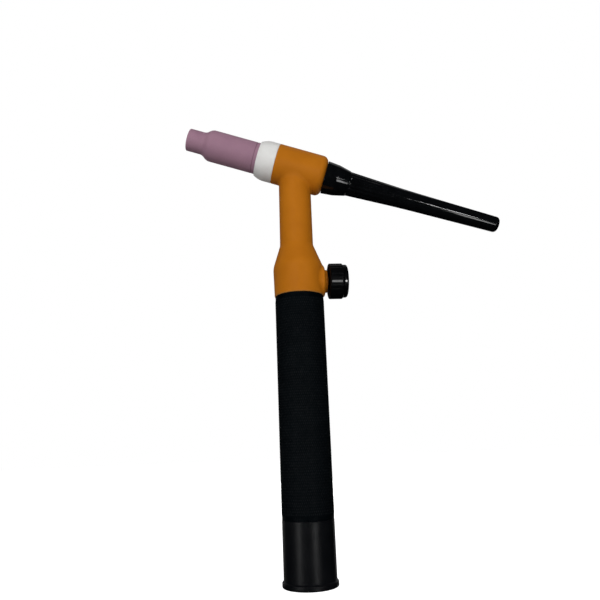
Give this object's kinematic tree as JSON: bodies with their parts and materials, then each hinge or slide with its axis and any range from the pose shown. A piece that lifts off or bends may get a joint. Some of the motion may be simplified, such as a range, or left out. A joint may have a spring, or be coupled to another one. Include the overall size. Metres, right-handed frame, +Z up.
{
  "type": "tig torch",
  "caption": "Gas-cooled TIG welding torch with a knurled handle, rigid angled head, ceramic gas cup, long back cap and a gas valve knob on its collar.",
  "frame": {"origin": "centre of the rear boot's open end, where the cable comes out", "axes": "+Z up the handle's axis towards the head, -X the side that the gas cup points to, +X the side of the valve knob and back cap, Y square to the plane of head and handle"},
  "size_m": [0.1992, 0.0308, 0.2733],
  "materials": {
    "alumina": "matte",
    "ptfe": "satin",
    "silicone": "satin",
    "phenolic": "gloss",
    "grip_plastic": "matte",
    "boot_plastic": "satin",
    "knob_plastic": "satin",
    "index_grey": "matte",
    "index_white": "matte",
    "seal_rubber": "satin",
    "brass": "satin",
    "copper": "satin",
    "tungsten": "satin",
    "screw_steel": "satin"
  },
  "bodies": {
    "torch": {"insulating_cover": "silicone", "head_body": "brass", "neck_tube": "copper", "valve_body": "brass", "valve_gland": "brass", "collet_body": "brass", "collet": "copper", "handle_tube": "grip_plastic", "rear_boot": "boot_plastic", "cable_stud": "brass", "stud_washer": "copper"},
    "cup_ring": {"cup_insulator": "ptfe"},
    "cup": {"gas_cup": "alumina"},
    "cap_seal": {"back_cap_o_ring": "seal_rubber"},
    "cap": {"back_cap": "phenolic", "back_cap_insert": "brass"},
    "stem_seal": {"valve_stem_o_ring": "seal_rubber"},
    "valve": {"valve_stem": "brass", "valve_knob": "knob_plastic", "knob_screw": "screw_steel", "knob_index_bar": "index_grey", "knob_index_dot": "index_white"},
    "electrode": {"tungsten_electrode": "tungsten"}
  },
  "joints": [
    {"name": "cup_travel", "type": "slide", "parent": "torch", "child": "cup_ring", "axis": [-0.9563, 0, 0.2924], "range_m": [0, 0.01]},
    {"name": "cup_turn", "type": "hinge", "parent": "cup_ring", "child": "cup", "pos_m": [0, 0, 0.2462], "axis": [-0.9563, 0, 0.2924], "range_deg": [0, 2400]},
    {"name": "cap_travel", "type": "slide", "parent": "torch", "child": "cap_seal", "axis": [0.9563, 0, -0.2924], "range_m": [0, 0.009]},
    {"name": "cap_turn", "type": "hinge", "parent": "cap_seal", "child": "cap", "pos_m": [0, 0, 0.2462], "axis": [0.9563, 0, -0.2924], "range_deg": [0, 2160]},
    {"name": "valve_travel", "type": "slide", "parent": "torch", "child": "stem_seal", "axis": [1, 0, 0], "range_m": [0, 0.002]},
    {"name": "valve_turn", "type": "hinge", "parent": "stem_seal", "child": "valve", "pos_m": [0, 0, 0.1711], "axis": [1, 0, 0], "range_deg": [0, 720]},
    {"name": "electrode_slide", "type": "slide", "parent": "torch", "child": "electrode", "axis": [-0.9563, 0, 0.2924], "range_m": [-0.005, 0.012]}
  ],
  "couplings": [
    {"joint": "cup_turn", "follows": "cup_travel", "rad_per_m": 4188.8},
    {"joint": "cap_turn", "follows": "cap_travel", "rad_per_m": 4188.8},
    {"joint": "valve_turn", "follows": "valve_travel", "rad_per_m": 6283.2}
  ]
}
